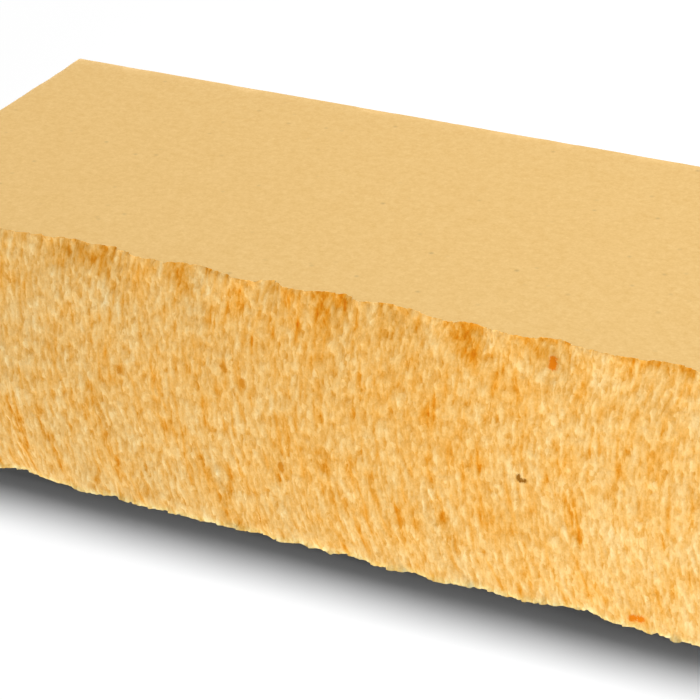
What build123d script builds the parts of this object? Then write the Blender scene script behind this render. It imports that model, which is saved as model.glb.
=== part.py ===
# Split-faced sand-lime facing brick.
# A plain blank is pressed in a mould, hardened in steam and split along its length, so that one long
# face is a rough fracture and the other five faces are smooth.
# Frame: X runs along the brick, Y from the split face to the back, Z up from bed to bed.
# The origin lies on the lower bed, under the middle of the brick's own box.
from build123d import *

import math
import os
import random

# The blank and the slice that is split off its front, in millimetres
LENGTH = 250.0
HEIGHT = 65.0
BLANK_DEPTH = 120.0
SPLIT_OFF = 22.0
MOULD_RADIUS = 0.8

# Broad swell of the fracture: how far it stands in or out, and its crests' spacing along and up
SWELL_HEIGHT = 0.4
SWELL_PITCH_X = 83.0
SWELL_PITCH_Z = 58.0

# Hackle: ridges along the way the crack ran. Above the bend they stand upright. Below it they lean over
# more and more, and the lean at the lower bed is given as run over rise. The sway makes the pitch uneven.
HACKLE_HEIGHT = 0.2
HACKLE_PITCH = 15.0
HACKLE_SWAY = 5.0
HACKLE_BEND = 40.0
HACKLE_LEAN = 0.4

# Rubble: lumps left where the crack went round the grains, on a lattice taller than it is wide
RUBBLE_HEIGHT = 0.35
RUBBLE_PITCH_X = 5.0
RUBBLE_PITCH_Z = 8.0

# The long arrises of the fracture: the upper one stands out as a lip, and the splitting blade knocked bites
# out of both. Lip and bites reach as far over the face. A bite is its place along the brick from the middle,
# its half width and its depth.
UPPER_LIP = 0.8
ARRIS_REACH = 8.0
UPPER_BITES = (
    (-103.0, 8.0, 2.3),
    (-73.0, 8.0, 2.0),
    (-62.0, 5.0, 2.8),
    (-39.0, 5.0, 1.5),
    (-20.0, 3.0, 1.2),
    (-7.0, 4.0, 3.0),
    (2.0, 5.0, 2.3),
    (11.0, 5.0, 2.6),
    (25.0, 4.0, 2.6),
    (44.0, 4.0, 2.4),
    (67.0, 7.0, 2.0),
    (96.0, 7.0, 2.7),
)
LOWER_BITES = (
    (-89.0, 7.0, 2.9),
    (-76.0, 6.0, 0.7),
    (-63.0, 8.0, 1.2),
    (-28.0, 4.0, 1.2),
    (-14.0, 4.0, 1.2),
    (-3.0, 4.0, 2.3),
    (12.0, 4.0, 1.2),
    (32.0, 9.0, 1.3),
    (51.0, 6.0, 2.7),
    (66.0, 6.0, 0.7),
    (103.0, 8.0, 1.6),
)


def swell(x, z):
    """Slow rise and fall of the whole fracture."""
    along = math.cos(math.tau * x / SWELL_PITCH_X)
    upward = math.sin(math.tau * (z / SWELL_PITCH_Z + x / SWELL_PITCH_X))
    return SWELL_HEIGHT * (along + upward) / 2


def hackle(x, z):
    """Ridges that lean over below the bend: each is known by the place where it stands upright."""
    below_bend = max(HACKLE_BEND - z, 0)
    upright_place = x - HACKLE_LEAN * below_bend**2 / HACKLE_BEND / 2
    swayed = upright_place + HACKLE_SWAY * math.sin(math.tau * x / SWELL_PITCH_X)
    return HACKLE_HEIGHT * math.cos(math.tau * swayed / HACKLE_PITCH)


def rubble(column, row):
    """An uneven height for one place of the lattice, the same at every build."""
    return RUBBLE_HEIGHT * random.Random(f"{column} {row}").uniform(-1, 1)


def bitten(x, bites):
    """Depth that the bites of one arris knocked out of it."""
    return sum(depth * math.exp(-(((x - place) / half_width) ** 2)) for place, half_width, depth in bites)


def near_arris(distance):
    """Share that an arris has in the face, dying away over its reach."""
    return math.exp(-max(distance, 0) / ARRIS_REACH)


def standing_out(column, row):
    """How far the fracture stands out of its mean plane at one place of the lattice."""
    x = column * RUBBLE_PITCH_X
    z = row * RUBBLE_PITCH_Z
    lumps = swell(x, z) + hackle(x, z) + rubble(column, row)
    upper = near_arris(HEIGHT - z) * (UPPER_LIP - bitten(x, UPPER_BITES))
    lower = near_arris(z) * bitten(x, LOWER_BITES)
    return lumps + upper - lower


def fracture():
    """The surface along which the blank comes apart, lofted through level profiles from bed to bed.
    It runs one step of the lattice past the blank on every side, so that it parts it right through."""
    last_column = math.ceil(LENGTH / 2 / RUBBLE_PITCH_X) + 1
    last_row = math.ceil(HEIGHT / RUBBLE_PITCH_Z) + 1
    columns = range(-last_column, last_column + 1)
    profiles = []
    for row in range(-1, last_row + 1):
        profile = []
        for column in columns:
            y = SPLIT_OFF - BLANK_DEPTH - standing_out(column, row)
            profile.append((column * RUBBLE_PITCH_X, y, row * RUBBLE_PITCH_Z))
        profiles.append(Wire(Edge.make_spline(profile, parameters=columns)))
    return Shell.make_loft(profiles).face()


def pressed_blank():
    """The blank as it leaves the mould, with its back on the plane Y = 0."""
    block = Box(LENGTH, BLANK_DEPTH, HEIGHT, align=(Align.CENTER, Align.MAX, Align.MIN))
    return fillet(block.edges(), MOULD_RADIUS)


def split_brick():
    """The blank less the slice in front of the fracture, set over the origin."""
    slice_off = Solid.extrude(fracture(), Vector(0, -BLANK_DEPTH, 0))
    brick = pressed_blank() - slice_off
    middle = brick.bounding_box().center()
    return Pos(-middle.X, -middle.Y, 0) * brick


os.makedirs("parts", exist_ok=True)
export_step(split_brick(), "parts/brick.step")
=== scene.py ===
"""A split-faced sand-lime facing brick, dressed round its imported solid, on a plain studio floor."""
import math

import bmesh
import bpy
import numpy as np
from bpy.props import FloatProperty, FloatVectorProperty, IntProperty, PointerProperty
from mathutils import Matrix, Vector


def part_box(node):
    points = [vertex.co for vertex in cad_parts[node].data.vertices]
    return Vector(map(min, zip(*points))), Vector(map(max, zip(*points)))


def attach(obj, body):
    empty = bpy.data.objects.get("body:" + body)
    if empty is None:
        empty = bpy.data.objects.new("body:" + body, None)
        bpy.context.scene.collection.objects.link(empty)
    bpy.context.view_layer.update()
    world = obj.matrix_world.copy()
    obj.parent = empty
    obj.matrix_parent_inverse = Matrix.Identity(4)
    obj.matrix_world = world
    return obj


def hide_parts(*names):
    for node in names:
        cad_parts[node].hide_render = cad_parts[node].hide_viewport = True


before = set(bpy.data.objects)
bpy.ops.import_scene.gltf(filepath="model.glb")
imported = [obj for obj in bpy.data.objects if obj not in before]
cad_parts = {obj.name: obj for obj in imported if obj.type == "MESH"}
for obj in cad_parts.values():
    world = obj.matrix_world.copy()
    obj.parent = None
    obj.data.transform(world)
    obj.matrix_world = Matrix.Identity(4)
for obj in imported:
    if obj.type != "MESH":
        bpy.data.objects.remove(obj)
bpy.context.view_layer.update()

bl_info = {
    "name": "Split-faced sand-lime brick",
    "version": (1, 0, 0),
    "blender": (4, 5, 0),
    "location": "3D View > Sidebar > Brick",
    "description": "Dresses the packed brick with its split face, pressed faces and a plain stage",
    "category": "Object",
}

# The solid's own box, in metres, which gives the dressed brick its overall size
BRICK_LOW, BRICK_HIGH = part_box("brick")
MM = 0.001


def length(name, description, default):
    """A size in metres that the sidebar shows in the scene's own units."""
    return FloatProperty(
        name=name, description=description, default=default, unit="LENGTH", precision=5
    )


def number(name, description, default, unit="NONE"):
    """A number, with a unit where it has one."""
    return FloatProperty(name=name, description=description, default=default, unit=unit)


def colour(name, description, default):
    """A linear colour that the sidebar shows as a swatch."""
    return FloatVectorProperty(
        name=name, description=description, default=default, subtype="COLOR", min=0.0, max=1.0
    )


class BrickSizes(bpy.types.PropertyGroup):
    """Sizes of the brick's faces, edges and relief."""

    mould_radius: length("Mould radius", "Radius of the pressed edges", 0.8 * MM)
    edge_wear: length("Edge wear", "Most that handling took off a pressed edge", 0.3 * MM)
    wear_spacing: length("Wear spacing", "Distance between the worn places of an edge", 7.0 * MM)
    streak_bend: length("Streak bend", "Height at which the streaks stand upright", 40.0 * MM)
    streak_lean: number("Streak lean", "Run over rise of the streaks at the lower bed", 0.42)
    streak_width: length("Streak width", "Width of the fine streaks of the split face", 1.1 * MM)
    streak_height: length("Streak height", "Height of the fine streaks of the split face", 3.0 * MM)
    streak_depth: length("Streak depth", "Relief of the fine streaks", 0.9 * MM)
    streak_sway: length("Streak sway", "How far the streaks wander sideways", 1.0 * MM)
    facet_width: length("Facet width", "Width of the broken grains of the split face", 0.72 * MM)
    facet_height: length("Facet height", "Height of the broken grains of the split face", 2.1 * MM)
    facet_depth: length("Facet depth", "Relief of the broken grains", 0.2 * MM)
    lump_width: length("Lump width", "Width of the broken lumps of the split face", 4.2 * MM)
    lump_height: length("Lump height", "Height of the broken lumps of the split face", 6.5 * MM)
    lump_depth: length("Lump depth", "Relief of the broken lumps", 0.25 * MM)
    chip_width: length("Chip width", "Width of the small chips along the split arrises", 3.5 * MM)
    chip_reach: length("Chip reach", "How far the small chips run over the face", 1.8 * MM)
    chip_depth: length("Chip depth", "Depth of the small chips along the split arrises", 1.0 * MM)
    score_radius: length("Score radius", "Size that the marks' half widths come from", 0.8 * MM)
    score_depth: length("Score depth", "Depth of the scores and pits of the split face", 0.1 * MM)
    tint_width: length("Tint width", "Width of the long streaks of deeper colour", 1.7 * MM)
    tint_height: length("Tint height", "Height of the long streaks of deeper colour", 10.0 * MM)
    patch_width: length("Patch width", "Width of the patches of deeper colour", 12.0 * MM)
    patch_height: length("Patch height", "Height of the patches of deeper colour", 14.0 * MM)
    grain: length("Grain", "Size of the sand grains", 0.45 * MM)
    grain_relief: length("Grain relief", "How far the sand grains stand out", 0.1 * MM)
    seed: IntProperty(name="Seed", description="Start of the scatter of the relief", default=7)


class BrickColours(bpy.types.PropertyGroup):
    """Colours of the pressed and the split faces."""

    pressed: colour("Pressed face", "Pale grain of the smooth faces", (0.755, 0.512, 0.210))
    pressed_dark: colour("Pressed dark", "Pit shade of the smooth faces", (0.63, 0.385, 0.123))
    pressed_speck: colour("Pressed speck", "Few specks of the smooth faces", (0.50, 0.33, 0.125))
    split: colour("Split face", "Mean colour of the broken face", (0.885, 0.502, 0.138))
    red_grain: colour("Red grain", "Colour of the few rusty grains", (0.78, 0.21, 0.0))
    # Painted shade at the bottom of the pits
    pit: colour("Pit", "Colour at the bottom of the pits", (0.68, 0.26, 0.015))
    # Painted shade of a small pit
    pit_shade: colour("Pit shade", "Colour of the few dark grains", (0.30, 0.115, 0.004))


class StageSettings(bpy.types.PropertyGroup):
    """The floor, the lamps and the camera's lens."""

    floor_side: length("Floor side", "Side of the square floor", 6.0)
    key_power: number("Key power", "Power of the overhead lamp", 56.0, "POWER")
    soft_power: number("Soft power", "Power of the wider overhead lamp", 16.0, "POWER")
    front_power: number("Front power", "Power of the lamp right of the split face", 0.24, "POWER")
    bounce_power: number("Bounce power", "Power of the light from the table", 10.6, "POWER")
    back_power: number("Back power", "Power of the lamp behind on the left", 11.0, "POWER")
    sky_level: number("Sky level", "Level of the even light from all round", 0.068)
    lens: number("Lens", "Focal length on a 36 mm wide sensor", 120.56, "CAMERA")


class Graph:
    """A node tree under construction. Each input of a node is a value or another node's socket."""

    def __init__(self, tree):
        self.tree = tree

    def node(self, kind, inputs=None, **settings):
        made = self.tree.nodes.new(kind)
        for name, value in settings.items():
            setattr(made, name, value)
        for name, value in (inputs or {}).items():
            self.feed(made.inputs[name], value)
        return made

    def feed(self, socket, value):
        if isinstance(value, bpy.types.NodeSocket):
            self.tree.links.new(value, socket)
        else:
            socket.default_value = value

    def math(self, operation, first, second=0.0, third=0.0):
        inputs = {0: first, 1: second, 2: third}
        return self.node("ShaderNodeMath", inputs, operation=operation).outputs[0]

    def vector(self, x, y, z):
        return self.node("ShaderNodeCombineXYZ", {0: x, 1: y, 2: z}).outputs[0]

    def parts(self, vector):
        return self.node("ShaderNodeSeparateXYZ", {0: vector}).outputs

    def ramp(self, value, low, high, course="SMOOTHSTEP"):
        """A step of value from 0 at low to 1 at high, smooth unless the course is LINEAR."""
        inputs = {"Value": value, "From Min": low, "From Max": high}
        return self.node("ShaderNodeMapRange", inputs, interpolation_type=course).outputs[0]

    def noise(self, place, scale=1.0, detail=2.0, roughness=0.5):
        inputs = {"Vector": place, "Scale": scale, "Detail": detail, "Roughness": roughness}
        return self.node("ShaderNodeTexNoise", inputs).outputs[0]

    def cells(self, place, smoothness):
        """Three random numbers of the nearest cell of unit size, blended over the cells' edges."""
        inputs = {"Vector": place, "Scale": 1.0, "Smoothness": smoothness}
        made = self.node("ShaderNodeTexVoronoi", inputs, feature="SMOOTH_F1")
        return self.parts(made.outputs["Color"])

    def mix(self, share, first, second):
        """A mix of two colours, which are the node's inputs 6 and 7 and its output 2."""
        inputs = {0: share, 6: first, 7: second}
        return self.node("ShaderNodeMix", inputs, data_type="RGBA").outputs[2]


# Base mesh of the brick

SPLIT_COLUMNS = 640
SPLIT_ROWS = 108
ARC_STEPS = 2
FILLET_STEPS = 3
# Rings behind the split arris: distance from it, and how often the ring's points are halved
ARRIS_RINGS = (
    (0.4 * MM, 0),
    (1.0 * MM, 0),
    (1.9 * MM, 0),
    (3.2 * MM, 1),
    (5.4 * MM, 2),
    (9.0 * MM, 2),
)
BODY_STEP = 4.0 * MM
BODY_HALVINGS = 2
# Points nearer to each other than this become one
MERGE_DISTANCE = 0.001 * MM
# A point is on a pressed edge when it is nearer than this share of the mould radius to two faces
EDGE_SHARE = 0.99


def grid_lines(half, steps, edge, halvings):
    """Places of a face's grid lines: narrow steps in each rounded edge and equal ones between."""
    inner = np.linspace(edge - half, half - edge, steps // 2**halvings + 1)
    low_edge = np.linspace(-half, edge - half, ARC_STEPS + 1)[:-1]
    return np.concatenate((low_edge, inner, -low_edge[::-1]))


def face_grid(halvings, shrink, radius):
    """Grid over the brick's cross section, drawn in by shrink, with its corners made round."""
    half_x = (BRICK_HIGH.x - BRICK_LOW.x) / 2
    half_z = (BRICK_HIGH.z - BRICK_LOW.z) / 2
    across = grid_lines(half_x - shrink, SPLIT_COLUMNS, radius - shrink, halvings)
    upward = grid_lines(half_z - shrink, SPLIT_ROWS, radius - shrink, halvings)
    x, z = np.meshgrid(across, upward, indexing="ij")
    past_x = np.maximum(np.abs(x) - (half_x - radius), 0.0)
    past_z = np.maximum(np.abs(z) - (half_z - radius), 0.0)
    longest = np.hypot(past_x, past_z)
    draw_in = np.maximum(past_x, past_z) / np.where(longest > 0.0, longest, 1.0)
    draw_in = np.where(longest > 0.0, draw_in, 1.0)
    x = np.sign(x) * (np.abs(x) - past_x + past_x * draw_in) + (BRICK_LOW.x + BRICK_HIGH.x) / 2
    z = np.sign(z) * (np.abs(z) - past_z + past_z * draw_in) + (BRICK_LOW.z + BRICK_HIGH.z) / 2
    return x, z


def outline(grid):
    """The places round the edge of a grid, anticlockwise as seen from the front."""
    return np.concatenate((grid[:-1, 0], grid[-1, :-1], grid[:0:-1, -1], grid[0, :0:-1]))


def outline_keys(halvings):
    """For each point round a ring, its number in a ring that isn't halved."""
    full_x = SPLIT_COLUMNS + 2 * ARC_STEPS
    full_z = SPLIT_ROWS + 2 * ARC_STEPS
    arc = np.arange(ARC_STEPS)

    def side(steps):
        inner = np.arange(0, steps + 1, 2**halvings) + ARC_STEPS
        return np.concatenate((arc, inner, arc + ARC_STEPS + steps + 1))[:-1]

    along, up = side(SPLIT_COLUMNS), side(SPLIT_ROWS)
    half_way = full_x + full_z
    return np.concatenate((along, full_x + up, half_way + along, half_way + full_x + up))


class BaseMesh:
    """Points and faces of the brick before its relief, with each point's share of the relief."""

    def __init__(self):
        self.points = []
        self.faces = []
        self.share = []
        self.count = 0

    def add_points(self, x, y, z, share):
        places = np.stack(np.broadcast_arrays(x, y, z), axis=-1).reshape(-1, 3)
        self.points.append(places)
        self.share.append(np.full(len(places), share))
        first = self.count
        self.count += len(places)
        return first + np.arange(len(places))

    def add_cap(self, numbers, outward_front):
        """Faces of a grid of points, looking to the front or to the back."""
        a, b = numbers[:-1, :-1], numbers[1:, :-1]
        c, d = numbers[1:, 1:], numbers[:-1, 1:]
        order = (a, b, c, d) if outward_front else (a, d, c, b)
        self.faces.extend(np.stack(order, axis=-1).reshape(-1, 4).tolist())

    def add_band(self, front, front_keys, back, back_keys):
        """Faces between two rings. Where the back ring has half the points, three triangles fill
        each step."""
        place = {key: number for key, number in zip(front_keys.tolist(), front.tolist())}
        keys = sorted(place)
        rank = {key: index for index, key in enumerate(keys)}
        total = len(back_keys)
        for index in range(total):
            key, following = int(back_keys[index]), int(back_keys[(index + 1) % total])
            near, far = int(back[index]), int(back[(index + 1) % total])
            start, end = place[key], place[following]
            between = (rank[following] - rank[key]) % len(keys)
            if between == 1:
                self.faces.append([start, near, far, end])
            else:
                middle = place[keys[(rank[key] + 1) % len(keys)]]
                self.faces.append([start, near, middle])
                self.faces.append([middle, near, far])
                self.faces.append([middle, far, end])


def ring_places(radius):
    """The rings behind the front cap: place along the depth, halvings of the points, how far the
    ring is drawn in, and its share of the relief."""
    last = ARRIS_RINGS[-1][0]
    rings = []
    for behind, halvings in ARRIS_RINGS:
        rings.append((BRICK_LOW.y + behind, halvings, 0.0, 1.0 - behind / last))
    start = BRICK_LOW.y + last
    stop = BRICK_HIGH.y - radius
    steps = math.ceil((stop - start) / BODY_STEP)
    for step in range(1, steps + 1):
        rings.append((start + (stop - start) * step / steps, BODY_HALVINGS, 0.0, 0.0))
    for step in range(1, FILLET_STEPS):
        turn = math.pi / 2 * step / FILLET_STEPS
        drawn_in = radius * (1 - math.cos(turn))
        rings.append((stop + radius * math.sin(turn), BODY_HALVINGS, drawn_in, 0.0))
    return rings


def base_mesh(sizes):
    """The brick as a dense front cap, rings that thin out behind it, and a coarse back cap."""
    radius = sizes.mould_radius
    made = BaseMesh()
    x, z = face_grid(0, 0.0, radius)
    cap = made.add_points(x, BRICK_LOW.y, z, 1.0).reshape(x.shape)
    made.add_cap(cap, outward_front=True)
    ring, keys = outline(cap), outline_keys(0)
    for y, halvings, drawn_in, share in ring_places(radius):
        x, z = face_grid(halvings, drawn_in, radius)
        new = made.add_points(outline(x), y, outline(z), share)
        new_keys = outline_keys(halvings)
        made.add_band(ring, keys, new, new_keys)
        ring, keys = new, new_keys
    x, z = face_grid(BODY_HALVINGS, radius, radius)
    cap = made.add_points(x, BRICK_HIGH.y, z, 0.0).reshape(x.shape)
    made.add_band(ring, keys, outline(cap), outline_keys(BODY_HALVINGS))
    made.add_cap(cap, outward_front=False)
    return made


# Marks on the split face: places along the brick from its middle and up from the lower bed, in
# millimetres. A score is a groove from its first place to its second, and a pit is a short one.
# The scores and pits are sunk a little into the relief, and the finish deepens their colour as
# painted shade in them.
SCORES = (
    ((-89.5, 21.1), (-85.0, 8.7)),
    ((-82.2, 20.1), (-77.6, 9.1)),
    ((-67.5, 30.1), (-59.7, 5.5)),
    ((-32.1, 16.4), (-32.5, 3.1)),
    ((-9.7, 25.9), (-7.3, 21.3)),
    ((17.8, 20.1), (23.2, 8.6)),
    ((47.2, 28.9), (51.0, 18.7)),
)
PITS = (
    ((-59.2, 35.6), (-59.1, 34.6)),
    ((-32.9, 41.9), (-32.3, 41.2)),
    ((-28.0, 39.6), (-27.9, 38.3)),
    ((-18.9, 20.3), (-18.8, 19.0)),
)
# Painted shade of a small L-shaped pit: a dark spot, with no hollow in the mesh under it
PIT_SHADES = (((36.9, 31.4), (36.9, 30.3)), ((36.9, 30.3), (38.5, 30.5)))
RED_GRAINS = (((43.4, 60.2), (43.3, 59.0)), ((63.8, 2.7), (65.6, 2.9)))

# Half widths of these marks, as shares of the score radius
SCORE_SHARE = 1.4
PIT_SHARE = 0.85
DARK_SHARE = 0.65
RED_SHARE = 1.3
# Painted shade in the bites under the upper arris: deeper, darker colour along the arris and down
# from it. Each has its own half width.
ARRIS_SHADES = (
    ((-72.0, 62.5), (-62.0, 62.5), 3.2),
    ((-43.0, 63.5), (-40.5, 58.5), 1.8),
    ((-18.5, 64.0), (-13.5, 63.5), 1.4),
    ((-17.5, 62.0), (-15.0, 57.0), 1.2),
    ((-10.0, 64.0), (-8.5, 58.5), 1.8),
    ((-8.0, 64.0), (-4.0, 63.5), 1.7),
    ((20.8, 64.0), (27.5, 64.0), 1.6),
    ((22.0, 61.5), (26.3, 61.5), 1.8),
    ((23.0, 58.5), (25.2, 57.5), 1.7),
    ((37.0, 64.5), (47.0, 65.0), 1.1),
    ((38.5, 63.0), (41.0, 61.5), 1.5),
    ((47.0, 63.0), (48.0, 60.0), 1.6),
    ((50.0, 62.5), (50.5, 55.5), 1.3),
    ((59.0, 64.3), (60.5, 64.3), 1.0),
    ((63.0, 64.6), (72.0, 64.4), 1.3),
)
# Paler places, along and under the upper arris. Each has its own half width.
PALE_PLACES = (
    ((-62.5, 56.0), (-61.5, 52.0), 1.2),
    ((-37.0, 61.5), (-34.0, 58.0), 2.6),
    ((0.5, 63.0), (5.0, 62.8), 1.8),
    ((15.5, 63.0), (18.7, 56.5), 1.0),
    ((29.0, 63.0), (32.5, 60.5), 2.0),
    ((36.5, 57.5), (37.0, 56.5), 1.6),
    ((52.5, 63.0), (57.0, 63.2), 2.0),
    ((53.0, 59.0), (57.0, 57.0), 3.0),
)


def bowl(x, z, start, end, radius):
    """A rounded groove from start to end: 1 along its middle, and 0 well away from it."""
    (x0, z0), (x1, z1) = np.array(start) * MM, np.array(end) * MM
    run = max(math.hypot(x1 - x0, z1 - z0), MM)
    along = np.clip(((x - x0) * (x1 - x0) + (z - z0) * (z1 - z0)) / run**2, 0.0, 1.0)
    gap = np.hypot(x - x0 - along * (x1 - x0), z - z0 - along * (z1 - z0))
    return np.exp(-((gap / radius) ** 2))


def grooves(x, z, marks, radius):
    """The strongest of several marks at each place, all with one half width."""
    return np.max([bowl(x, z, start, end, radius) for start, end in marks], axis=0)


def tinted(x, z, marks):
    """The strongest of several marks at each place, each with its own half width."""
    return np.max([bowl(x, z, start, end, half * MM) for start, end, half in marks], axis=0)


def on_pressed_edge(points, radius):
    """Marks the points that lie within the mould radius of two faces of the brick at once."""
    inset = np.minimum(points - np.array(BRICK_LOW), np.array(BRICK_HIGH) - points)
    return np.sort(inset, axis=1)[:, 1] < EDGE_SHARE * radius


def base_object(name, sizes):
    """The base mesh as an object whose attributes say what each point takes part in."""
    made = base_mesh(sizes)
    points = np.concatenate(made.points)
    share = np.concatenate(made.share)
    x, z = points[:, 0], points[:, 2]
    values = {
        "share": share,
        "edge": on_pressed_edge(points, sizes.mould_radius) * (share == 0.0),
        "score": grooves(x, z, SCORES, SCORE_SHARE * sizes.score_radius),
        "pit": grooves(x, z, PITS, PIT_SHARE * sizes.score_radius),
        # Painted shade in the bites under the upper arris
        "arris_shade": tinted(x, z, ARRIS_SHADES),
        "pale_place": tinted(x, z, PALE_PLACES),
        # Painted shade of a small pit
        "pit_shade": grooves(x, z, PIT_SHADES, DARK_SHARE * sizes.score_radius),
        "red_grain": grooves(x, z, RED_GRAINS, RED_SHARE * sizes.score_radius),
    }
    mesh = bpy.data.meshes.new(name)
    mesh.from_pydata(points.tolist(), [], made.faces)
    for label, numbers in values.items():
        layer = mesh.attributes.new(label, "FLOAT", "POINT")
        layer.data.foreach_set("value", numbers.astype(np.float32))
    work = bmesh.new()
    work.from_mesh(mesh)
    bmesh.ops.remove_doubles(work, verts=work.verts, dist=MERGE_DISTANCE)
    work.to_mesh(mesh)
    work.free()
    made_object = bpy.data.objects.new(name, mesh)
    bpy.context.scene.collection.objects.link(made_object)
    return made_object


# Patterns of the split face, which the relief and the finish share

# Mean of a noise and of a random number
MEAN = 0.5
# Fields of the split face: the kind of mark that gives a field its width and height, the step from
# the seed to the field's own, and the detail of its noise
FIELDS = {
    # Fine streaks along the way the crack ran
    "streak": ("Streak", 0.0, 2.0),
    # Broken lumps between the streaks and the solid's own form
    "lump": ("Lump", 11.3, 1.0),
    # Streaks of deeper and paler colour, longer than those of the relief
    "tint": ("Tint", 5.6, 1.0),
    # Wide patches of deeper and paler colour
    "patch": ("Patch", 23.9, 2.0),
    # The streaks' wander from side to side
    "wander": ("Patch", 31.7, 0.0),
}
FIELD_ROUGHNESS = 0.6
# Share of the lean that the fine streaks and the broken grains take
FINE_LEAN = 0.35
# How far the streaks push a broken grain sideways, in grains
FACET_WARP = 3.0
# How far the edges of the broken grains and of the chips are blended, from 0 for crisp to 1
FACET_SMOOTHNESS = 0.12
CHIP_SMOOTHNESS = 0.1
# Most broken grains are near the mean: the few deep and the few raised ones come from a high power
# of a random number
FACET_POWER = 4.0
DEEP_FACET = 0.5
RAISED_FACET = 0.5
# Heights of the fine streaks at which a mark is gone and at which it is whole
MARK_BREAK = (0.16, -0.14)


def label_of(name):
    """A size's name as the sidebar and the tree of the relief write it."""
    return name.replace("_", " ").capitalize()


def field(graph, name, across, z, sizes):
    """One of the split face's uneven fields, about zero."""
    kind, seed_step, detail = FIELDS[name]
    along = graph.math("DIVIDE", across, sizes[f"{kind} width"])
    upward = graph.math("DIVIDE", z, sizes[f"{kind} height"])
    place = graph.vector(along, upward, graph.math("ADD", sizes["Seed"], seed_step))
    noise = graph.noise(place, detail=detail, roughness=FIELD_ROUGHNESS)
    return graph.math("SUBTRACT", noise, MEAN)


def upright_place(graph, x, z, sizes, lean_share):
    """Place along the brick at which the streak through a point stands upright, with its wander."""
    bend = sizes["Streak bend"]
    below = graph.math("SUBTRACT", bend, z)
    squared = graph.math("MULTIPLY", below, below)
    run = graph.math("DIVIDE", squared, graph.math("MULTIPLY", bend, 2.0))
    lean = graph.math("MULTIPLY", sizes["Streak lean"], -lean_share)
    place = graph.math("MULTIPLY_ADD", run, lean, x)
    wander = field(graph, "wander", x, z, sizes)
    return graph.math("MULTIPLY_ADD", wander, sizes["Streak sway"], place)


def facet_field(graph, across, z, streak, sizes):
    """Broken grains, taller than wide: how far each stands out, and its own tone about zero."""
    along = graph.math("DIVIDE", across, sizes["Facet width"])
    along = graph.math("MULTIPLY_ADD", streak, FACET_WARP, along)
    upward = graph.math("DIVIDE", z, sizes["Facet height"])
    place = graph.vector(along, upward, sizes["Seed"])
    first, second, third = graph.cells(place, FACET_SMOOTHNESS)
    raised = graph.math("MULTIPLY", graph.math("POWER", first, FACET_POWER), RAISED_FACET)
    deep = graph.math("MULTIPLY", graph.math("POWER", second, FACET_POWER), DEEP_FACET)
    mean = (RAISED_FACET - DEEP_FACET) / (FACET_POWER + 1.0)
    standing = graph.math("SUBTRACT", graph.math("SUBTRACT", raised, deep), mean)
    return standing, graph.math("SUBTRACT", third, MEAN)


def broken_mark(graph, mark, streak):
    """Weakens a mark where the fine streaks stand out, so that it is broken up by them."""
    return graph.math("MULTIPLY", mark, graph.ramp(streak, *MARK_BREAK))


# Relief of the brick

RELIEF_SIZES = (
    "streak_bend",
    "streak_lean",
    "streak_width",
    "streak_height",
    "streak_depth",
    "streak_sway",
    "facet_width",
    "facet_height",
    "facet_depth",
    "lump_width",
    "lump_height",
    "lump_depth",
    "chip_width",
    "chip_reach",
    "chip_depth",
    "score_depth",
    "patch_width",
    "patch_height",
    "edge_wear",
    "wear_spacing",
    "seed",
)
# Rays that read the solid's form: how far inside its outline they stay, how far in front of it they
# start, and how long they are
RAY_INSET = 1.0 * MM
RAY_START = 20.0 * MM
RAY_LENGTH = 1.0
# Rounds of smoothing of the solid's form near an arris and on the face, and the distances from an
# arris between which the one gives way to the other
ARRIS_SMOOTHING = 8
FACE_SMOOTHING = 60
CALM_FROM_ARRIS = (2.0 * MM, 8.0 * MM)
# The chips and the smaller nicks of the split arrises: shares of the chips' width and depth
CHIP_SHARES = ((1.0, 1.0), (0.42, 0.7))
CHIP_SEED_STEP = 47.1
# Levels of the noise at which a pressed edge starts to be worn and is fully worn
WORN_NOISE = (0.45, 0.75)


def named(graph, name):
    """Reads a stored attribute of the mesh."""
    made = graph.node("GeometryNodeInputNamedAttribute", {"Name": name}, data_type="FLOAT")
    return made.outputs["Attribute"]


def from_arris(graph, z):
    """Distance of a place from the nearer of the two split arrises."""
    from_upper = graph.math("SUBTRACT", BRICK_HIGH.z, z)
    from_lower = graph.math("SUBTRACT", z, BRICK_LOW.z)
    return graph.math("MINIMUM", from_upper, from_lower)


def held_inside(graph, value, low, high):
    """A coordinate held inside the solid's outline."""
    inputs = {0: value, 1: low + RAY_INSET, 2: high - RAY_INSET}
    return graph.node("ShaderNodeClamp", inputs).outputs[0]


def smoothed(graph, value, rounds):
    """A value of the mesh's points, evened out over their neighbours."""
    inputs = {"Value": value, "Iterations": rounds}
    return graph.node("GeometryNodeBlurAttribute", inputs).outputs[0]


def solid_form(graph, solid, x, z):
    """How far the solid's fracture lies behind the front of its box, read by rays."""
    inside_x = held_inside(graph, x, BRICK_LOW.x, BRICK_HIGH.x)
    inside_z = held_inside(graph, z, BRICK_LOW.z, BRICK_HIGH.z)
    target = graph.node("GeometryNodeObjectInfo", {"Object": solid}, transform_space="ORIGINAL")
    inputs = {
        "Target Geometry": target.outputs["Geometry"],
        "Source Position": graph.vector(inside_x, BRICK_LOW.y - RAY_START, inside_z),
        "Ray Direction": (0.0, 1.0, 0.0),
        "Ray Length": RAY_LENGTH,
    }
    ray = graph.node("GeometryNodeRaycast", inputs, data_type="FLOAT")
    behind = graph.math("SUBTRACT", ray.outputs["Hit Distance"], RAY_START)
    rough = smoothed(graph, behind, ARRIS_SMOOTHING)
    calm = smoothed(graph, behind, FACE_SMOOTHING)
    inside = graph.ramp(from_arris(graph, z), *CALM_FROM_ARRIS)
    return graph.math("MULTIPLY_ADD", inside, graph.math("SUBTRACT", calm, rough), rough)


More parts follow.
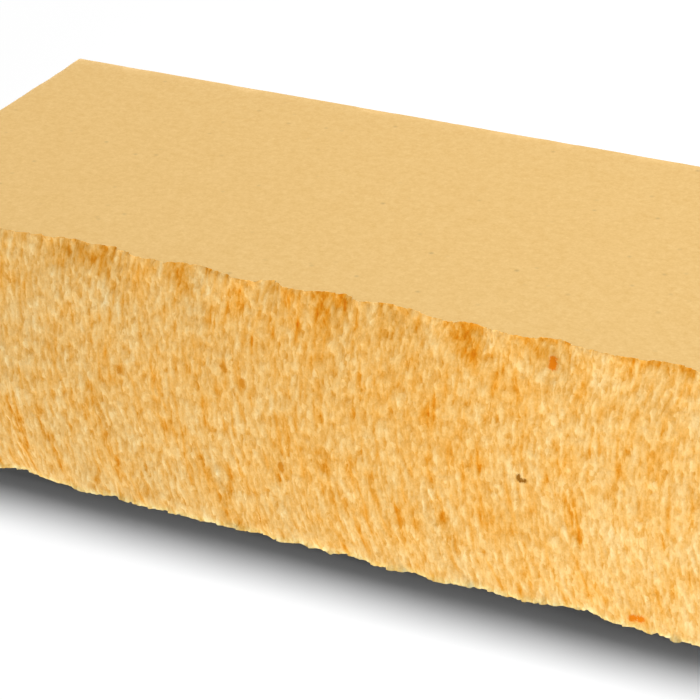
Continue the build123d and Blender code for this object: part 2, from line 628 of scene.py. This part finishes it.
def chip_relief(graph, x, z, sizes):
    """Small flat chips and smaller nicks in both split arrises, fading over the face."""
    gap = graph.math("DIVIDE", from_arris(graph, z), sizes["Chip reach"])
    seed = graph.math("ADD", sizes["Seed"], CHIP_SEED_STEP)
    total = 0.0
    for width_share, depth_share in CHIP_SHARES:
        fade = graph.math("EXPONENT", graph.math("MULTIPLY", gap, -1.0 / width_share))
        along = graph.math("DIVIDE", graph.math("DIVIDE", x, sizes["Chip width"]), width_share)
        upward = graph.math("DIVIDE", graph.math("DIVIDE", z, sizes["Lump height"]), width_share)
        cell = graph.cells(graph.vector(along, upward, seed), CHIP_SMOOTHNESS)[0]
        chips = graph.math("MULTIPLY", graph.math("SUBTRACT", cell, MEAN), fade)
        total = graph.math("MULTIPLY_ADD", chips, depth_share, total)
    return graph.math("MULTIPLY", total, sizes["Chip depth"])


def worn_edges(graph, geometry, sizes):
    """Takes a little off the pressed edges, more at some places than at others."""
    position = graph.node("GeometryNodeInputPosition").outputs[0]
    place = graph.node("ShaderNodeVectorMath", {0: position}, operation="SCALE")
    graph.feed(place.inputs["Scale"], graph.math("DIVIDE", 1.0, sizes["Wear spacing"]))
    worn = graph.ramp(graph.noise(place.outputs[0]), *WORN_NOISE)
    worn = graph.math("MULTIPLY", worn, named(graph, "edge"))
    taken = graph.math("MULTIPLY", worn, sizes["Edge wear"])
    normal = graph.node("GeometryNodeInputNormal").outputs[0]
    inward = graph.node("ShaderNodeVectorMath", {0: normal}, operation="SCALE")
    graph.feed(inward.inputs["Scale"], graph.math("MULTIPLY", taken, -1.0))
    moved = {"Geometry": geometry, "Offset": inward.outputs[0]}
    return graph.node("GeometryNodeSetPosition", moved).outputs[0]


def relief_tree():
    """Geometry nodes that give the base mesh the solid's form, its relief and its worn edges."""
    tree = bpy.data.node_groups.new("Split brick relief", "GeometryNodeTree")
    tree.interface.new_socket("Geometry", in_out="INPUT", socket_type="NodeSocketGeometry")
    tree.interface.new_socket("Solid", in_out="INPUT", socket_type="NodeSocketObject")
    tree.interface.new_socket("Finish", in_out="INPUT", socket_type="NodeSocketMaterial")
    for name in RELIEF_SIZES:
        tree.interface.new_socket(label_of(name), in_out="INPUT", socket_type="NodeSocketFloat")
    tree.interface.new_socket("Geometry", in_out="OUTPUT", socket_type="NodeSocketGeometry")
    graph = Graph(tree)
    sizes = graph.node("NodeGroupInput").outputs
    x, _, z = graph.parts(graph.node("GeometryNodeInputPosition").outputs[0])
    across = upright_place(graph, x, z, sizes, 1.0)
    fine = upright_place(graph, x, z, sizes, FINE_LEAN)
    streak = field(graph, "streak", fine, z, sizes)
    streaks = graph.math("MULTIPLY", streak, sizes["Streak depth"])
    lumps = graph.math("MULTIPLY", field(graph, "lump", across, z, sizes), sizes["Lump depth"])
    standing = graph.math("ADD", graph.math("ADD", streaks, lumps), chip_relief(graph, x, z, sizes))
    facet, _ = facet_field(graph, fine, z, streak, sizes)
    standing = graph.math("ADD", standing, graph.math("MULTIPLY", facet, sizes["Facet depth"]))
    scores = broken_mark(graph, named(graph, "score"), streak)
    marks = graph.math("MAXIMUM", scores, named(graph, "pit"))
    sunk = graph.math("MULTIPLY", marks, sizes["Score depth"])
    standing = graph.math("SUBTRACT", standing, sunk)
    behind = graph.math("SUBTRACT", solid_form(graph, sizes["Solid"], x, z), standing)
    depth = graph.math("MULTIPLY", graph.math("MAXIMUM", behind, 0.0), named(graph, "share"))
    moved = {"Geometry": sizes["Geometry"], "Offset": graph.vector(0.0, depth, 0.0)}
    geometry = graph.node("GeometryNodeSetPosition", moved).outputs[0]
    geometry = worn_edges(graph, geometry, sizes)
    geometry = graph.node("GeometryNodeSetShadeSmooth", {"Geometry": geometry}).outputs[0]
    geometry = graph.node("GeometryNodeRealizeInstances", {"Geometry": geometry}).outputs[0]
    finish = {"Geometry": geometry, "Material": sizes["Finish"]}
    geometry = graph.node("GeometryNodeSetMaterial", finish).outputs[0]
    graph.node("NodeGroupOutput", {"Geometry": geometry})
    return tree


def socket_name(tree, label):
    """The identifier of a tree's input, by which a modifier knows it."""
    for item in tree.interface.items_tree:
        if item.name == label and item.in_out == "INPUT":
            return item.identifier
    raise RuntimeError(f"the tree has no input named {label}")


# Finish of the brick

# Edges that turn by more than this are sharp
ARRIS_ANGLE = math.radians(50.0)
# A face belongs to the split face when all its points have at least this share of the relief
FULL_SHARE = 0.999
SURFACE_ROUGHNESS = 0.92
SPECULAR_LEVEL = 0.2
# Roughness of the sand grain's noise, and strength of its bump on the pressed faces, where that on
# the split face is 1
GRAIN_ROUGHNESS = 0.6
PRESSED_BUMP = 0.15
# How much a dash, a tint and the painted highlight along the lower arris change the split face's
# red, green and blue
DASH_GAIN = (0.14, 0.33, 0.80)
TINT_GAIN = (0.02, 0.21, 0.70)
HIGHLIGHT_RIM_GAIN = (0.07, 0.30, 0.60)
# What a dash and a tint are made of, each with its share. A dash or tint above 0 is paler, and one
# below 0 is deeper in colour. In the dash the fine streaks, their hollows and the standing grains
# follow the relief: painted shade in its hollows and painted light on what stands out.
DASH_SHARES = {
    "streak": 3.3,
    "hollow_shade": -1.7,
    "crease": -1.5,
    "facet": 0.9,
    "standing": 0.6,
    # The sand grain's share is painted light and shade of its bump
    "grain": 0.3,
    "arris_shade": -0.5,
    "pale_place": 0.15,
    # Scores and pits: painted shade in their grooves
    "score": -0.55,
    "pit": -0.25,
}
TINT_SHARES = {
    "long_streak": 2.3,
    "crease": -2.2,
    "patch": 1.6,
    "broad": 0.15,
    # Deeper colour towards the upper arris: painted shade
    "upward": -0.25,
    "arris_shade": -0.75,
    "pale_place": 0.3,
    # Scores and pits: painted shade in their grooves
    "score": -0.75,
    "pit": -0.5,
}
# Fine streaks deeper than this are hollows, which get painted shade, and long ones deeper than this
# are creases
HOLLOW_DEPTH = 0.07
CREASE_DEPTH = 0.1
# Share of the painted shade under the upper arris, or of a score, that the streaks don't break up
WHOLE_SHARE = 0.5
# Painted shade of the sand grain: how much it lightens the split face where its bump stands out and
# darkens it where the bump lies deep, without a change of colour
GRAIN_SHADE = 0.24
# The split face is palest at this place along the brick, and again one pitch on
BROAD_PLACE = -78.0 * MM
BROAD_PITCH = 170.0 * MM
# Shares of a spot's mark between which its colour sets in
SPOT_EDGE = (0.15, 0.75)
# How ragged the streaks and the sand grain make the edge of a spot
SPOT_RAGGED = 2.2
# Height of the painted highlight, a pale rim along the lower arris
HIGHLIGHT_RIM_HEIGHT = 2.0 * MM
# Clouds of the pressed faces: size, detail and roughness of their noise, the sand grain's share in
# the tone, and the tones of the pale and of the dark colour
CLOUD_SIZE = 1.6 * MM
CLOUD_DETAIL = 3.0
CLOUD_ROUGHNESS = 0.8
CLOUD_GRAIN = 0.5
CLOUD_TONES = (0.85, 0.15)
# Specks of the pressed faces: distance apart, radius, and the random numbers between which a speck
# grows strong
SPECK_SPACING = 5.0 * MM
SPECK_RADIUS = 0.9 * MM
SPECK_CHOICE = (0.4, 1.1)


def marked(graph, name):
    """Reads a mark that the mesh carries."""
    return graph.node("ShaderNodeAttribute", attribute_name=name).outputs["Fac"]


def summed(graph, *shares):
    """The sum of several values, each times its own share."""
    total = 0.0
    for value, share in shares:
        total = graph.math("MULTIPLY_ADD", value, share, total)
    return total


def blended(graph, values, shares):
    """The sum of named values, each times the share that a list gives it."""
    return summed(graph, *((values[name], share) for name, share in shares.items()))


def deeper(graph, streak, depth):
    """How far a streak lies deeper than a depth, and 0 where it doesn't."""
    return graph.math("MAXIMUM", graph.math("MULTIPLY_ADD", streak, -1.0, -depth), 0.0)


def broad_tone(graph, x):
    """Slow change of tone from one end of the brick to the other."""
    turn = graph.math("MULTIPLY", graph.math("SUBTRACT", x, BROAD_PLACE), math.tau / BROAD_PITCH)
    return graph.math("COSINE", turn)


def half_broken(graph, name, streak):
    """A mark of which the streaks break up only a share."""
    mark = marked(graph, name)
    broken = broken_mark(graph, mark, streak)
    return summed(graph, (mark, WHOLE_SHARE), (broken, 1.0 - WHOLE_SHARE))


def split_colour(graph, place, grain, sizes, colours):
    """Colour of the broken face: a sandy mean and random tone, with painted light and shade from the
    relief: pale where it stands out and deep orange in its hollows.
    """
    x, _, z = graph.parts(place)
    across = upright_place(graph, x, z, sizes, 1.0)
    fine = upright_place(graph, x, z, sizes, FINE_LEAN)
    streak = field(graph, "streak", fine, z, sizes)
    long_streak = field(graph, "tint", across, z, sizes)
    standing, facet = facet_field(graph, fine, z, streak, sizes)
    # The streaks, their hollows and the standing grains follow the relief, so their share here is
    # painted shade and light
    values = {
        "streak": streak,
        "hollow_shade": deeper(graph, streak, HOLLOW_DEPTH),
        "long_streak": long_streak,
        "crease": deeper(graph, long_streak, CREASE_DEPTH),
        "facet": facet,
        "standing": standing,
        "grain": grain,
        "patch": field(graph, "patch", across, z, sizes),
        "broad": broad_tone(graph, x),
        # Deeper colour towards the upper arris: painted shade
        "upward": graph.math("MULTIPLY_ADD", z, 1.0 / (BRICK_HIGH.z - BRICK_LOW.z), -0.5),
        # Painted shade in the bites under the upper arris
        "arris_shade": half_broken(graph, "arris_shade", streak),
        "score": half_broken(graph, "score", streak),
        "pale_place": marked(graph, "pale_place"),
        "pit": marked(graph, "pit"),
    }
    dash = blended(graph, values, DASH_SHARES)
    tint = blended(graph, values, TINT_SHARES)
    # Painted highlight: a pale rim along the lower arris
    highlight_rim = graph.ramp(z, HIGHLIGHT_RIM_HEIGHT, 0.0)
    channels = []
    for level, *gains in zip(colours.split, DASH_GAIN, TINT_GAIN, HIGHLIGHT_RIM_GAIN):
        gain = summed(graph, *zip((dash, tint, highlight_rim), gains), (grain, GRAIN_SHADE))
        # The square of 1 + gain / 2 is near 1 + gain, and never below 0
        root = graph.math("MAXIMUM", graph.math("MULTIPLY_ADD", gain, 0.5, 1.0), 0.0)
        channels.append(graph.math("MULTIPLY", graph.math("MULTIPLY", root, root), level))
    broken = graph.vector(*channels)
    ragged = graph.math("MULTIPLY_ADD", graph.math("ADD", streak, grain), SPOT_RAGGED, 1.0)
    for name in ("pit", "red_grain", "pit_shade"):
        mark = graph.math("MULTIPLY", marked(graph, name), ragged)
        spot = (*getattr(colours, name), 1.0)
        broken = graph.mix(graph.ramp(mark, *SPOT_EDGE), broken, spot)
    return broken


def pressed_colour(graph, place, grain, colours):
    """Colour of the smooth faces: even, with a faint grain, faint clouds and a few specks."""
    clouds = graph.noise(place, 1.0 / CLOUD_SIZE, CLOUD_DETAIL, CLOUD_ROUGHNESS)
    tone = graph.math("ADD", graph.math("MULTIPLY", grain, CLOUD_GRAIN), clouds)
    dark = graph.ramp(tone, *CLOUD_TONES, "LINEAR")
    even = graph.mix(dark, (*colours.pressed, 1.0), (*colours.pressed_dark, 1.0))
    spots = graph.node("ShaderNodeTexVoronoi", {"Vector": place, "Scale": 1.0 / SPECK_SPACING})
    chosen = graph.ramp(graph.parts(spots.outputs["Color"])[0], *SPECK_CHOICE)
    near = graph.ramp(spots.outputs["Distance"], SPECK_RADIUS / SPECK_SPACING, 0.0)
    speck = graph.math("MULTIPLY", near, chosen)
    return graph.mix(speck, even, (*colours.pressed_speck, 1.0))


def sand_lime_material(brick_sizes, colours):
    """Pressed and split sand-lime in one finish, parted by the mesh's own marks."""
    material = bpy.data.materials.new("sand_lime")
    material.use_nodes = True
    material.node_tree.nodes.clear()
    graph = Graph(material.node_tree)
    names = BrickSizes.__annotations__
    sizes = {label_of(name): float(getattr(brick_sizes, name)) for name in names}
    place = graph.node("ShaderNodeTexCoord").outputs["Object"]
    split = marked(graph, "split")
    grain = graph.noise(place, scale=1.0 / brick_sizes.grain, roughness=GRAIN_ROUGHNESS)
    grain = graph.math("SUBTRACT", grain, MEAN)
    broken = split_colour(graph, place, grain, sizes, colours)
    pressed = pressed_colour(graph, place, grain, colours)
    strength = graph.math("MULTIPLY_ADD", split, 1.0 - PRESSED_BUMP, PRESSED_BUMP)
    relief = {"Height": grain, "Strength": strength, "Distance": brick_sizes.grain_relief}
    bump = graph.node("ShaderNodeBump", relief)
    inputs = {"Base Color": graph.mix(split, pressed, broken), "Normal": bump.outputs[0]}
    shader = graph.node("ShaderNodeBsdfPrincipled", inputs)
    shader.inputs["Roughness"].default_value = SURFACE_ROUGHNESS
    shader.inputs["Specular IOR Level"].default_value = SPECULAR_LEVEL
    graph.node("ShaderNodeOutputMaterial", {"Surface": shader.outputs[0]})
    return material


def mark_split_faces(mesh):
    """Marks the faces of the front cap, whose points all have their full share of the relief."""
    share = np.zeros(len(mesh.vertices), np.float32)
    mesh.attributes["share"].data.foreach_get("value", share)
    corners = np.zeros(len(mesh.loops), np.int32)
    mesh.loops.foreach_get("vertex_index", corners)
    starts = np.zeros(len(mesh.polygons), np.int32)
    mesh.polygons.foreach_get("loop_start", starts)
    split = np.minimum.reduceat(share[corners], starts) > FULL_SHARE
    layer = mesh.attributes.new("split", "FLOAT", "FACE")
    layer.data.foreach_set("value", split.astype(np.float32))


class BRICK_OT_split_brick(bpy.types.Operator):
    """Make the brick with its split face and pressed faces"""

    bl_idname = "brick.split_brick"
    bl_label = "Split brick"

    def execute(self, context):
        sizes = context.scene.brick_sizes
        tree = relief_tree()
        brick = base_object("split_brick", sizes)
        relief = brick.modifiers.new("Relief", "NODES")
        relief.node_group = tree
        relief[socket_name(tree, "Solid")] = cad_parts["brick"]
        finish = sand_lime_material(sizes, context.scene.brick_colours)
        relief[socket_name(tree, "Finish")] = finish
        for name in RELIEF_SIZES:
            relief[socket_name(tree, label_of(name))] = float(getattr(sizes, name))
        evaluated = brick.evaluated_get(context.evaluated_depsgraph_get())
        mesh = bpy.data.meshes.new_from_object(evaluated)
        brick.modifiers.remove(relief)
        brick.data = mesh
        mark_split_faces(mesh)
        mesh.set_sharp_from_angle(angle=ARRIS_ANGLE)
        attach(brick, "root")
        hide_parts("brick")
        return {"FINISHED"}


# Stage

CAMERA_PLACE = Vector((180.34, -497.25, 288.37)) * MM
CAMERA_TILT = math.radians(90.0 - 28.207)
CAMERA_TURN = math.radians(24.543)
# Width of the camera's sensor in millimetres, and the nearest distance that it sees in metres
SENSOR_WIDTH = 36.0
CLIP_START = 0.01
# Lamps: place, the point that each is turned to, width and height, in metres
KEY_LAMP = ((1.0, 0.37, 2.065), (1.0, 0.37, 0.0), 2.6, 0.60)
SOFT_LAMP = ((1.0, 0.30, 2.065), (1.0, 0.30, 0.0), 2.6, 0.95)
FRONT_LAMP = ((0.14, -0.25, 0.03), (0.14, -0.05, 0.03), 0.25, 0.25)
BOUNCE_LAMP = ((-0.12, -0.42, -0.3), (0.0, -0.05, 0.03), 2.2, 1.2)
BACK_LAMP = ((-0.85, 0.85, 0.05), (0.0, 0.05, 0.03), 0.6, 0.3)
WHITE = (1.0, 1.0, 1.0, 1.0)
FLOOR_WHITE = (0.97, 0.97, 0.97, 1.0)
# Distances from the origin between which the lit floor gives way to even white, in metres
EVEN_WHITE = (0.20, 0.42)


def floor_material():
    """Plain white floor that takes the brick's shadow, and is even white further off."""
    material = bpy.data.materials.new("floor")
    material.use_nodes = True
    material.node_tree.nodes.clear()
    graph = Graph(material.node_tree)
    x, y, _ = graph.parts(graph.node("ShaderNodeTexCoord").outputs["Object"])
    squares = graph.math("ADD", graph.math("POWER", x, 2.0), graph.math("POWER", y, 2.0))
    away = graph.math("SQRT", squares)
    seen = graph.node("ShaderNodeLightPath").outputs["Is Camera Ray"]
    white = graph.math("MULTIPLY", graph.ramp(away, *EVEN_WHITE), seen)
    lit = graph.node("ShaderNodeBsdfDiffuse", {"Color": FLOOR_WHITE})
    plain = graph.node("ShaderNodeEmission", {"Color": WHITE, "Strength": 1.0})
    mixed = graph.node("ShaderNodeMixShader", {0: white, 1: lit.outputs[0], 2: plain.outputs[0]})
    graph.node("ShaderNodeOutputMaterial", {"Surface": mixed.outputs[0]})
    return material


def make_floor(side):
    """A square floor at the level of the lower bed."""
    half = side / 2
    corners = [(-half, -half, 0.0), (half, -half, 0.0), (half, half, 0.0), (-half, half, 0.0)]
    mesh = bpy.data.meshes.new("floor")
    mesh.from_pydata(corners, [], [(0, 1, 2, 3)])
    mesh.materials.append(floor_material())
    floor = bpy.data.objects.new("floor", mesh)
    bpy.context.scene.collection.objects.link(floor)
    return floor


def make_world(level):
    """Even white surroundings, seen at full white and giving only a little light."""
    world = bpy.data.worlds.new("studio")
    world.use_nodes = True
    world.node_tree.nodes.clear()
    graph = Graph(world.node_tree)
    path = graph.node("ShaderNodeLightPath").outputs
    seen = graph.math("MAXIMUM", path["Is Camera Ray"], path["Is Glossy Ray"])
    seen = graph.math("MAXIMUM", seen, path["Is Transmission Ray"])
    light = graph.node("ShaderNodeBackground", {"Color": WHITE, "Strength": level})
    white = graph.node("ShaderNodeBackground", {"Color": WHITE, "Strength": 1.0})
    mixed = graph.node("ShaderNodeMixShader", {0: seen, 1: light.outputs[0], 2: white.outputs[0]})
    graph.node("ShaderNodeOutputWorld", {"Surface": mixed.outputs[0]})
    world.cycles.sampling_method = "NONE"
    return world


def make_lamp(name, layout, power, shape="RECTANGLE"):
    """A soft lamp at a place, turned to a point."""
    place, target, width, height = layout
    data = bpy.data.lights.new(name, "AREA")
    data.shape = shape
    data.size, data.size_y = width, height
    data.energy = power
    data.cycles.use_multiple_importance_sampling = False
    lamp = bpy.data.objects.new(name, data)
    lamp.location = place
    lamp.rotation_euler = (Vector(target) - Vector(place)).to_track_quat("-Z", "Y").to_euler()
    lamp.visible_camera = False
    bpy.context.scene.collection.objects.link(lamp)
    return lamp


def make_camera(lens):
    """The camera at the picture's viewing angle."""
    data = bpy.data.cameras.new("camera")
    data.lens = lens
    data.sensor_width = SENSOR_WIDTH
    data.clip_start = CLIP_START
    camera = bpy.data.objects.new("camera", data)
    camera.location = CAMERA_PLACE + Vector((0.0, BRICK_HIGH.y, 0.0))
    camera.rotation_euler = (CAMERA_TILT, 0.0, CAMERA_TURN)
    bpy.context.scene.collection.objects.link(camera)
    return camera


def link_fills(lamps, brick, floor):
    """Lets the fill lamps light the brick alone, with neither brick nor floor in their way."""
    alone = bpy.data.collections.new("lit_brick")
    alone.objects.link(brick)
    unshaded = bpy.data.collections.new("unshaded")
    for item in (brick, floor):
        unshaded.objects.link(item)
    for item in unshaded.collection_objects:
        item.light_linking.link_state = "EXCLUDE"
    for lamp in lamps:
        lamp.light_linking.receiver_collection = alone
        lamp.light_linking.blocker_collection = unshaded


class BRICK_OT_stage(bpy.types.Operator):
    """Make the floor, the lamps and the camera"""

    bl_idname = "brick.stage"
    bl_label = "Stage"

    def execute(self, context):
        scene = context.scene
        settings = scene.brick_stage
        brick = bpy.data.objects["split_brick"]
        floor = make_floor(settings.floor_side)
        scene.world = make_world(settings.sky_level)
        make_lamp("key", KEY_LAMP, settings.key_power, "ELLIPSE")
        make_lamp("soft", SOFT_LAMP, settings.soft_power, "ELLIPSE")
        front = make_lamp("front", FRONT_LAMP, settings.front_power)
        bounce = make_lamp("bounce", BOUNCE_LAMP, settings.bounce_power)
        back = make_lamp("back", BACK_LAMP, settings.back_power)
        link_fills((front, bounce, back), brick, floor)
        # Neither tints the other, so the shadow stays a neutral grey
        brick.visible_diffuse = False
        floor.visible_diffuse = False
        scene.camera = make_camera(settings.lens)
        scene.view_settings.view_transform = "Standard"
        return {"FINISHED"}


class BRICK_PT_panel(bpy.types.Panel):
    """Lists the brick's operators and settings"""

    bl_idname = "BRICK_PT_panel"
    bl_label = "Sand-lime brick"
    bl_space_type = "VIEW_3D"
    bl_region_type = "UI"
    bl_category = "Brick"

    def draw(self, context):
        scene = context.scene
        for operator in (BRICK_OT_split_brick, BRICK_OT_stage):
            self.layout.operator(operator.bl_idname)
        for group in (scene.brick_sizes, scene.brick_colours, scene.brick_stage):
            for name in group.__annotations__:
                self.layout.prop(group, name)


CLASSES = (
    BrickSizes,
    BrickColours,
    StageSettings,
    BRICK_OT_split_brick,
    BRICK_OT_stage,
    BRICK_PT_panel,
)


def register():
    for item in CLASSES:
        bpy.utils.register_class(item)
    bpy.types.Scene.brick_sizes = PointerProperty(type=BrickSizes)
    bpy.types.Scene.brick_colours = PointerProperty(type=BrickColours)
    bpy.types.Scene.brick_stage = PointerProperty(type=StageSettings)


def unregister():
    del bpy.types.Scene.brick_stage
    del bpy.types.Scene.brick_colours
    del bpy.types.Scene.brick_sizes
    for item in reversed(CLASSES):
        bpy.utils.unregister_class(item)


def main():
    register()
    bpy.ops.brick.split_brick()
    bpy.ops.brick.stage()


if __name__ == "__main__":
    main()
